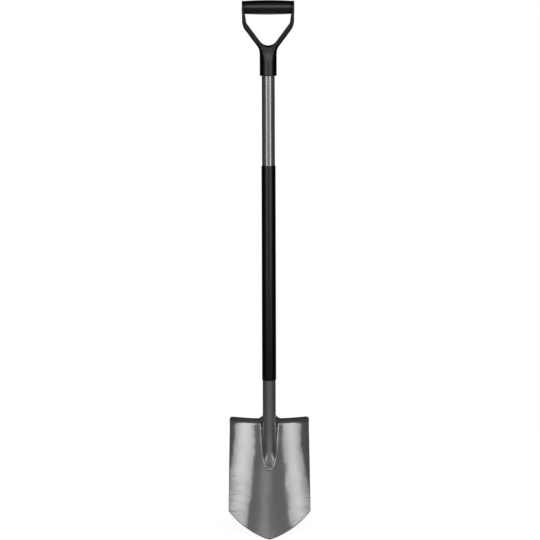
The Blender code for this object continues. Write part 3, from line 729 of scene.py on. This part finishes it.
def neck_weld_piece():
    """The bead behind the tube, on the tongue's top edge."""
    inner = TUBE_RADIUS + SEAT_GAP
    section = [(0.0, 0.0), (0.0, 1.0), (0.18, 0.98), (0.4, 0.86), (0.62, 0.66), (0.82, 0.38), (1.0, 0.0)]
    rings = []
    angles = steps(math.pi - NECK_WELD_HALF_ANGLE, math.pi + NECK_WELD_HALF_ANGLE, 96)
    for i, angle in enumerate(angles):
        ripple = 1 + NECK_WELD_RIPPLE * math.sin(2 * math.pi * i / 8)
        ring = []
        for outward, up in section:
            radius = inner + outward * NECK_WELD_WIDTH * (ripple if outward else 1)
            x, y = radius * math.sin(angle), -radius * math.cos(angle)
            beside = inner * math.sin(angle)
            edge = max(tread_point(place, tread_length(place)).z for place in (x, beside))
            ring.append(Vector((x, y, edge + SEAT_GAP + up * NECK_WELD_HEIGHT * ripple)))
        rings.append(ring)
    points, faces = lofted(rings)
    return make_piece("neck_weld_bead", points, faces, "neck_weld", TUBE_PAINT)


def sleeve_piece():
    """The plastic sleeve, with its ends slightly rolled in."""
    inner = TUBE_RADIUS + SEAT_GAP
    outer = (SLEEVE_HIGH.x - SLEEVE_LOW.x) / 2
    low, high = SLEEVE_LOW.z - RISE, SLEEVE_HIGH.z - RISE
    low_roll, high_roll = 0.0009, 0.00045
    profile = [(inner, low + 0.0002), (inner + 0.0001, low)]
    profile += [(outer - low_roll + low_roll * math.sin(a), low + 1.6 * low_roll * (1 - math.cos(a)))
                for a in steps(0, math.pi / 2, 5)]
    profile += [(outer, z) for z in steps(low + 0.003, high - 0.002, 40)]
    profile += [(outer - high_roll + high_roll * math.cos(a), high - high_roll + high_roll * math.sin(a))
                for a in steps(0, math.pi / 2, 4)]
    profile += [(inner + 0.0001, high), (inner, high - 0.0002)]
    points, faces = revolved(profile, 96, hollow=True)
    return make_piece("shaft_sleeve_tube", points, faces, "shaft_sleeve",
                      SLEEVE_PLASTIC)


# D handle

def inner_diagonal_x(height):
    centre = CROTCH_HEIGHT + CROTCH_RADIUS
    return CROTCH_RADIUS / math.cos(ARM_LEAN) + (height - centre) * math.tan(ARM_LEAN)


def outer_diagonal_x(height):
    return inner_diagonal_x(height) + ARM_THICKNESS / math.cos(ARM_LEAN)


def corner_arc(corner, before, after, radius, count):
    """Points of the arc that rounds a corner between two lines."""
    corner, before, after = Vector(corner), Vector(before), Vector(after)
    a, b = (before - corner).normalized(), (after - corner).normalized()
    half = a.angle(b) / 2
    centre = corner + (a + b).normalized() * (radius / math.sin(half))
    setback = radius / math.tan(half)
    start, end = corner + a * setback - centre, corner + b * setback - centre
    turn = start.angle_signed(end)
    return [tuple(centre + Matrix.Rotation(-turn * share, 2) @ start) for share in steps(0, 1, count)]


def arm_outline():
    """The right half of the handle's outline, from inside the collar out, up and round the opening."""
    lower = CROTCH_HEIGHT
    root_z = lower + (COLLAR_RADIUS - outer_diagonal_x(lower)) / math.tan(ARM_LEAN)
    root = (COLLAR_RADIUS, root_z)
    shoulder_x = YOKE_HALF_WIDTH - SEAT_GAP
    shoulder_z = lower + (shoulder_x - outer_diagonal_x(lower)) / math.tan(ARM_LEAN)
    shoulder = (shoulder_x, shoulder_z)
    tangent = ARM_ROOT_FILLET * math.tan(ARM_LEAN / 2)
    inner_top = (YOKE_HALF_WIDTH - ARM_TOP_THICKNESS + SEAT_GAP, GRIP_AXIS_HEIGHT)
    below_grip = (inner_top[0], GRIP_AXIS_HEIGHT - GRIP_END_RADIUS)
    inner_knee_x = inner_top[0] - 0.4 * ARM_TOP_THICKNESS
    inner_knee = (inner_knee_x, lower + (inner_knee_x - inner_diagonal_x(lower)) / math.tan(ARM_LEAN))
    points = [(0.0, root_z - tangent - 0.020), (0.009, root_z - tangent - 0.014)]
    points += corner_arc(root, (COLLAR_RADIUS, root_z - 1), shoulder, ARM_ROOT_FILLET, 24)
    points += corner_arc(shoulder, root, (shoulder_x, GRIP_AXIS_HEIGHT), ARM_BEND_RADIUS, 24)
    points += [(shoulder_x, GRIP_AXIS_HEIGHT), inner_top, below_grip]
    on_diagonal = (inner_diagonal_x(lower + CROTCH_RADIUS), lower + CROTCH_RADIUS)
    points += corner_arc(inner_knee, below_grip, on_diagonal, ARM_KNEE_RADIUS, 16)
    points += [(CROTCH_RADIUS * math.cos(a), CROTCH_HEIGHT + CROTCH_RADIUS + CROTCH_RADIUS * math.sin(a))
               for a in steps(-ARM_LEAN, -math.pi / 2, 36)]
    return points


def outline_distance(outline, x, z):
    """Signed distance, negative inside, from a closed outline to arrays of places."""
    nearest = np.full(x.shape, 1.0)
    inside = np.zeros(x.shape, bool)
    for (ax, az), (bx, bz) in zip(outline, outline[1:] + outline[:1]):
        ex, ez = bx - ax, bz - az
        length = ex * ex + ez * ez
        if length < 1e-16:
            continue
        t = np.clip(((x - ax) * ex + (z - az) * ez) / length, 0, 1)
        nearest = np.minimum(nearest, np.hypot(x - ax - t * ex, z - az - t * ez))
        crosses = (az > z) != (bz > z)
        if abs(ez) > 1e-12:
            inside ^= crosses & (x < ex * (z - az) / ez + ax)
    return np.where(inside, -nearest, nearest)


def soft_join(a, b, width):
    """The nearer of two distances, blended where they are alike."""
    h = np.clip(0.5 + 0.5 * (b - a) / width, 0, 1)
    return b + (a - b) * h - width * h * (1 - h)


def rounded_extent(across, along, radius):
    """Distance to a shape from its distances across and along, its edges rounded."""
    p, q = across + radius, along + radius
    return np.minimum(np.maximum(p, q), 0) + np.hypot(np.maximum(p, 0), np.maximum(q, 0)) - radius


def yoke_distance(x, y, z, plate):
    """Signed distance to the handle's moulding. plate is the outline's distance at (x, z)."""
    into_web = np.clip((CROTCH_HEIGHT + WEB_ROUND_HEIGHT - z) / WEB_ROUND_LENGTH, 0, 1)
    edge = ARM_EDGE_ROUND + (WEB_EDGE_ROUND - ARM_EDGE_ROUND) * into_web ** 2 * (3 - 2 * into_web)
    arms = rounded_extent(plate, np.abs(y) - YOKE_HALF_DEPTH, edge)
    from_axis = np.hypot(x, y)
    collar_top = CROTCH_HEIGHT - 0.25 * CROTCH_THICKNESS
    middle = (COLLAR_END_HEIGHT + collar_top) / 2
    collar = rounded_extent(from_axis - COLLAR_RADIUS, np.abs(z - middle) - (collar_top - middle),
                            COLLAR_CHAMFER)
    slope = (COLLAR_RADIUS - YOKE_HALF_DEPTH) / FACET_HEIGHT
    low = CROTCH_HEIGHT - FACET_HEIGHT - 0.5 * CROTCH_THICKNESS
    facet = (np.abs(y) - COLLAR_RADIUS + (z - low) * slope) / math.hypot(1, slope)
    collar = -soft_join(-collar, -facet, FACET_BLEND)
    on_web = np.clip((WEB_HALF_WIDTH - np.abs(x)) / 0.006, 0, 1)
    body = soft_join(arms, collar, ARM_BLEND + (WEB_BLEND - ARM_BLEND) * on_web)
    from_grip_axis = np.hypot(y, z - GRIP_AXIS_HEIGHT)
    boss_half = ARM_TOP_THICKNESS / 2 + 0.0001
    boss_middle = YOKE_HALF_WIDTH - boss_half
    boss = rounded_extent(from_grip_axis - GRIP_END_RADIUS, np.abs(np.abs(x) - boss_middle) - boss_half,
                          BOSS_ROUND)
    body = soft_join(body, boss, BOSS_BLEND)
    core = np.maximum(from_grip_axis - GRIP_CORE_RADIUS, np.abs(x) - boss_middle)
    body = np.minimum(body, core)
    socket = np.maximum(from_axis - TUBE_RADIUS - SEAT_GAP, z - SOCKET_FLOOR_HEIGHT)
    return np.maximum(body, -socket)


def surface_net(field, origin, pitch, refine):
    """Quads over a sampled distance field's zero level, its points then moved onto the level."""
    inside = field < 0
    cell_shape = tuple(size - 1 for size in field.shape)
    cells = np.zeros(cell_shape, int)
    total = np.zeros((*cell_shape, 3))
    count = np.zeros(cell_shape)
    corners = [(i, j, k) for i in (0, 1) for j in (0, 1) for k in (0, 1)]
    edges = [(a, b) for a in corners for b in corners
             if a < b and sum(abs(p - q) for p, q in zip(a, b)) == 1]

    def part(array, corner):
        return array[tuple(slice(start, size + start) for start, size in zip(corner, cell_shape))]

    for a, b in edges:
        fa, fb = part(field, a), part(field, b)
        crossing = part(inside, a) != part(inside, b)
        t = np.where(crossing, fa / np.where(crossing, fa - fb, 1), 0)
        for axis in range(3):
            total[..., axis] += np.where(crossing, a[axis] + t * (b[axis] - a[axis]), 0)
        count += crossing
    used = np.argwhere(count > 0)
    cells[tuple(used.T)] = np.arange(len(used))
    points = (used + total[tuple(used.T)] / count[tuple(used.T)][:, None]) * pitch + origin
    faces = []
    for axis in range(3):
        u, v = [(1, 2), (2, 0), (0, 1)][axis]
        low = [slice(None)] * 3
        high = [slice(None)] * 3
        low[axis], high[axis] = slice(0, -1), slice(1, None)
        changed = inside[tuple(low)] != inside[tuple(high)]
        for place in np.argwhere(changed):
            if place[u] == 0 or place[v] == 0:
                continue
            quad = []
            for du, dv in ((1, 1), (0, 1), (0, 0), (1, 0)):
                cell = place.copy()
                cell[u] -= du
                cell[v] -= dv
                quad.append(int(cells[tuple(cell)]))
            faces.append(tuple(quad) if inside[tuple(place)] else tuple(reversed(quad)))
    return refine(points), faces


def yoke_piece():
    """Collar, web, arms, bosses and bar as one moulding with soft blends."""
    right = arm_outline()
    outline = right[:-1] + [(-x, z) for x, z in reversed(right)]
    pitch = 0.0010
    # The grid reaches about three steps past the moulding, by uneven margins that keep it off flat faces
    low = np.array([-YOKE_HALF_WIDTH - 0.0032, -COLLAR_RADIUS - 0.0031, COLLAR_END_HEIGHT - 0.0033])
    high = np.array([YOKE_HALF_WIDTH, COLLAR_RADIUS, GRIP_AXIS_HEIGHT + GRIP_END_RADIUS]) + 3 * pitch
    size = np.ceil((high - low) / pitch).astype(int)
    xs, ys, zs = (low[axis] + np.arange(size[axis]) * pitch for axis in range(3))
    plate = outline_distance(outline, *np.meshgrid(xs, zs, indexing="ij"))
    x, y, z = np.meshgrid(xs, ys, zs, indexing="ij")
    field = yoke_distance(x, y, z, np.broadcast_to(plate[:, None, :], x.shape))

    def at(points):
        flat = outline_distance(outline, points[:, 0], points[:, 2])
        return yoke_distance(points[:, 0], points[:, 1], points[:, 2], flat)

    def refine(points):
        """Moves the points onto the surface by steps along the field's slope."""
        probe = 0.00005
        for _ in range(4):
            value = at(points)
            slope = np.stack([(at(points + probe * unit) - at(points - probe * unit)) / (2 * probe)
                              for unit in np.eye(3)], axis=1)
            length = np.maximum((slope ** 2).sum(axis=1), 0.25)
            points = points - np.clip(value / length, -pitch / 2, pitch / 2)[:, None] * slope
        return points

    points, faces = surface_net(field, low, pitch, refine)
    return make_piece("handle_yoke_moulding", [tuple(p) for p in points], faces, "handle_yoke",
                      HANDLE_PLASTIC, math.radians(50))


def grip_piece():
    """The barrel-shaped grip on the handle's bar."""
    half = YOKE_HALF_WIDTH - ARM_TOP_THICKNESS - SEAT_GAP
    bore = GRIP_CORE_RADIUS + SEAT_GAP
    swell = GRIP_MID_RADIUS - GRIP_END_RADIUS
    end_radius = GRIP_END_RADIUS - GRIP_END_STEP
    profile = [(bore, -half), (end_radius, -half)]
    profile += [(GRIP_MID_RADIUS - swell * (x / half) ** 2, x)
                for x in steps(-half + GRIP_END_STEP, half - GRIP_END_STEP, 48)]
    profile += [(end_radius, half), (bore, half)]
    points, faces = revolved(profile, 96, axis="X", hollow=True)
    points = [(x, y, z + GRIP_AXIS_HEIGHT) for x, y, z in points]
    return make_piece("handle_grip_barrel", points, faces, "handle_grip", GRIP_PLASTIC)


def rivet_piece():
    """The blind rivet at the collar's back: its tail inside the tube, its shank and its hollow head."""
    base = COLLAR_RADIUS - 0.0008 + SEAT_GAP
    tail = TUBE_RADIUS - TUBE_WALL - 0.0008
    profile = [(RIVET_BORE_RADIUS, tail - 0.003), (RIVET_TAIL_RADIUS, tail - 0.0018),
               (RIVET_TAIL_RADIUS, tail), (RIVET_SHANK_RADIUS, tail), (RIVET_SHANK_RADIUS, base),
               (RIVET_HEAD_RADIUS, base)]
    profile += [(RIVET_HEAD_RADIUS * math.cos(a), base + RIVET_HEAD_RISE * (0.35 + 0.65 * math.sin(a)))
                for a in steps(0, math.radians(68), 10)]
    profile += [(RIVET_BORE_RADIUS, base + 0.0013), (0.0010, base + 0.0006)]
    points, faces = revolved(profile, 48, axis="Y")
    points = [(x, y, z + RIVET_HEIGHT) for x, y, z in points]
    return make_piece("handle_rivet_blind", points, faces, "handle_rivet", RIVET_STEEL)


# Studio

CAMERA_DISTANCE = 5.76
CAMERA_ASIDE = 0.0025
CAMERA_HEIGHT = 1.10
CAMERA_TILT = math.radians(5.1465)
CAMERA_ROLL = math.radians(-0.178)
CAMERA_LENS = 178.84
PANEL_FULL_HEIGHT = 0.52
FLOOR_RADIUS = 1.4
FLOOR_DROP = 0.0006
FLOOR_GLOW = 0.86
STRIP_AZIMUTH = math.radians(4.5)
STRIP_RADIANCE = 0.35
FRONT_RADIANCE = 0.24
DIM_RADIANCE = 0.012


def camera():
    data = bpy.data.cameras.new("camera")
    data.lens = CAMERA_LENS
    data.sensor_width = 36
    data.sensor_fit = "HORIZONTAL"
    data.clip_end = 100
    thing = bpy.data.objects.new("camera", data)
    bpy.context.scene.collection.objects.link(thing)
    roll = Matrix.Rotation(CAMERA_ROLL, 4, "Z")
    aim = Matrix.Rotation(math.pi / 2 - CAMERA_TILT, 4, "X")
    place = Matrix.Translation((CAMERA_ASIDE, AXIS_Y - CAMERA_DISTANCE, CAMERA_HEIGHT))
    thing.matrix_world = place @ aim @ roll
    bpy.context.scene.camera = thing


def panel(name, azimuth, distance, low, high, width, radiance, side_share=1.0, foot_share=1.0):
    """An upright softbox at a compass angle from the front, facing the shaft.

    It falls to side_share at its sides and, over its lower part, to foot_share at its foot.
    """
    data = bpy.data.lights.new(name, "AREA")
    data.shape = "RECTANGLE"
    data.size = width
    data.size_y = high - low
    data.energy = radiance * math.pi * width * (high - low)
    data.use_nodes = True
    n = Nodes(data.node_tree)
    place = n.split(n.add("ShaderNodeTexCoord").outputs["UV"])
    aside = n.math("SUBTRACT", place["X"], 0.5)
    across = n.math("ADD", n.math("MULTIPLY", n.math("MULTIPLY", aside, aside), -4 * (1 - side_share)), 1.0)
    full_from = min((PANEL_FULL_HEIGHT - low) / (high - low), 1.0)
    rise = n.math("MINIMUM", n.math("DIVIDE", place["Y"], max(full_from, 0.01)), 1.0)
    upward = n.math("ADD", n.math("MULTIPLY", rise, 1 - foot_share), foot_share)
    n.link(n.math("MULTIPLY", across, upward), n.tree.nodes["Emission"].inputs["Strength"])
    thing = bpy.data.objects.new(name, data)
    bpy.context.scene.collection.objects.link(thing)
    angle = math.radians(azimuth)
    facing = Vector((-math.sin(angle), math.cos(angle), 0))
    thing.rotation_euler = facing.to_track_quat("-Z", "Y").to_euler()
    thing.location = -distance * facing + Vector((0, 0, (low + high) / 2))
    thing.visible_camera = False


def studio_world():
    """A dim studio round the spade; the camera sees plain white, and so does what reflects the far side."""
    world = bpy.data.worlds.new("studio")
    bpy.context.scene.world = world
    world.use_nodes = True
    n = Nodes(world.node_tree)
    n.tree.nodes.clear()
    direction = n.split(n.add("ShaderNodeTexCoord").outputs["Generated"])
    x, y, z = direction["X"], direction["Y"], direction["Z"]
    front = n.math("MAXIMUM", n.math("MULTIPLY", y, -1.0), 0.0)
    wide = n.math("MULTIPLY", n.math("POWER", front, 2.2), FRONT_RADIANCE)
    level_length = n.math("SQRT", n.math("ADD", n.math("MULTIPLY", x, x), n.math("MULTIPLY", y, y)))
    toward = n.math("ADD", n.math("MULTIPLY", x, math.sin(STRIP_AZIMUTH)),
                    n.math("MULTIPLY", y, -math.cos(STRIP_AZIMUTH)))
    toward = n.math("MAXIMUM", n.math("DIVIDE", toward, n.math("MAXIMUM", level_length, 0.01)), 0.0)
    strip = n.math("MULTIPLY", n.math("POWER", toward, 200.0), STRIP_RADIANCE)
    dim = n.math("ADD", n.math("ADD", wide, strip), DIM_RADIANCE)
    dim = n.math("MULTIPLY", dim, n.between(z, -0.16, -0.02, 0.28, 1.0, interpolation_type="SMOOTHSTEP"))
    light = n.add("ShaderNodeLightPath")
    mirrored = n.math("MAXIMUM", light.outputs["Is Glossy Ray"], light.outputs["Is Transmission Ray"])
    behind = n.math("MULTIPLY", mirrored, n.between(y, 0.85, 0.9, interpolation_type="SMOOTHSTEP"))
    white = n.math("MAXIMUM", light.outputs["Is Camera Ray"], behind)
    strength = n.math("ADD", n.math("MULTIPLY", dim, n.math("SUBTRACT", 1.0, white)), white)
    background = n.add("ShaderNodeBackground")
    background.inputs["Color"].default_value = (1, 1, 1, 1)
    n.link(strength, background.inputs["Strength"])
    n.link(background.outputs[0], n.add("ShaderNodeOutputWorld").inputs[0])


def studio_floor():
    """A pale round floor under the blade's point."""
    mesh = bpy.data.meshes.new("studio_floor")
    work = bmesh.new()
    bmesh.ops.create_circle(work, cap_ends=True, radius=FLOOR_RADIUS, segments=96)
    work.to_mesh(mesh)
    work.free()
    floor = bpy.data.objects.new("studio_floor", mesh)
    bpy.context.scene.collection.objects.link(floor)
    floor.location = (0, AXIS_Y, -FLOOR_DROP)
    n = MaterialNodes("floor_white")
    n.set(Roughness=0.9)
    n.shader.inputs["Base Color"].default_value = (0.85, 0.85, 0.85, 1)
    grain = n.noise(n.place, 60.0, 3.0)
    shade = n.mix_color(n.between(grain, 0.3, 0.7), (0.84, 0.84, 0.84), (0.86, 0.86, 0.86))
    n.link(shade, n.shader.inputs["Base Color"])
    glow = n.add("ShaderNodeEmission")
    light = n.add("ShaderNodeLightPath")
    behind = n.between(n.split(n.place)["Y"], 0.05, 0.25)
    mirrored = n.math("MAXIMUM", light.outputs["Is Glossy Ray"], light.outputs["Is Transmission Ray"])
    seen = n.math("MAXIMUM", light.outputs["Is Camera Ray"], n.math("MULTIPLY", mirrored, behind))
    n.link(n.math("MULTIPLY", seen, FLOOR_GLOW), glow.inputs["Strength"])
    both = n.add("ShaderNodeAddShader")
    n.link(n.shader.outputs[0], both.inputs[0])
    n.link(glow.outputs[0], both.inputs[1])
    n.link(both.outputs[0], n.tree.nodes["Material Output"].inputs[0])
    mesh.materials.append(n.material)


def lights():
    sides = {"low": 0.26, "high": 2.3, "side_share": 0.42, "foot_share": 0.30}
    panel("soft_left", -30.2, 3.0, width=1.33, radiance=1.80, **sides)
    panel("soft_right", 33.3, 3.0, width=1.49, radiance=1.94, **sides)
    panel("soft_top_front", 0, 3.0, low=1.26, high=2.95, width=1.7, radiance=1.85, side_share=0.8)
    panel("soft_back", 180, 4.0, low=0.2, high=2.1, width=3.0, radiance=1.0)


blade_piece()
tube_piece()
foot_weld_piece()
neck_weld_piece()
sleeve_piece()
yoke_piece()
grip_piece()
rivet_piece()
camera()
studio_world()
studio_floor()
lights()
bpy.context.scene.view_settings.view_transform = "Standard"
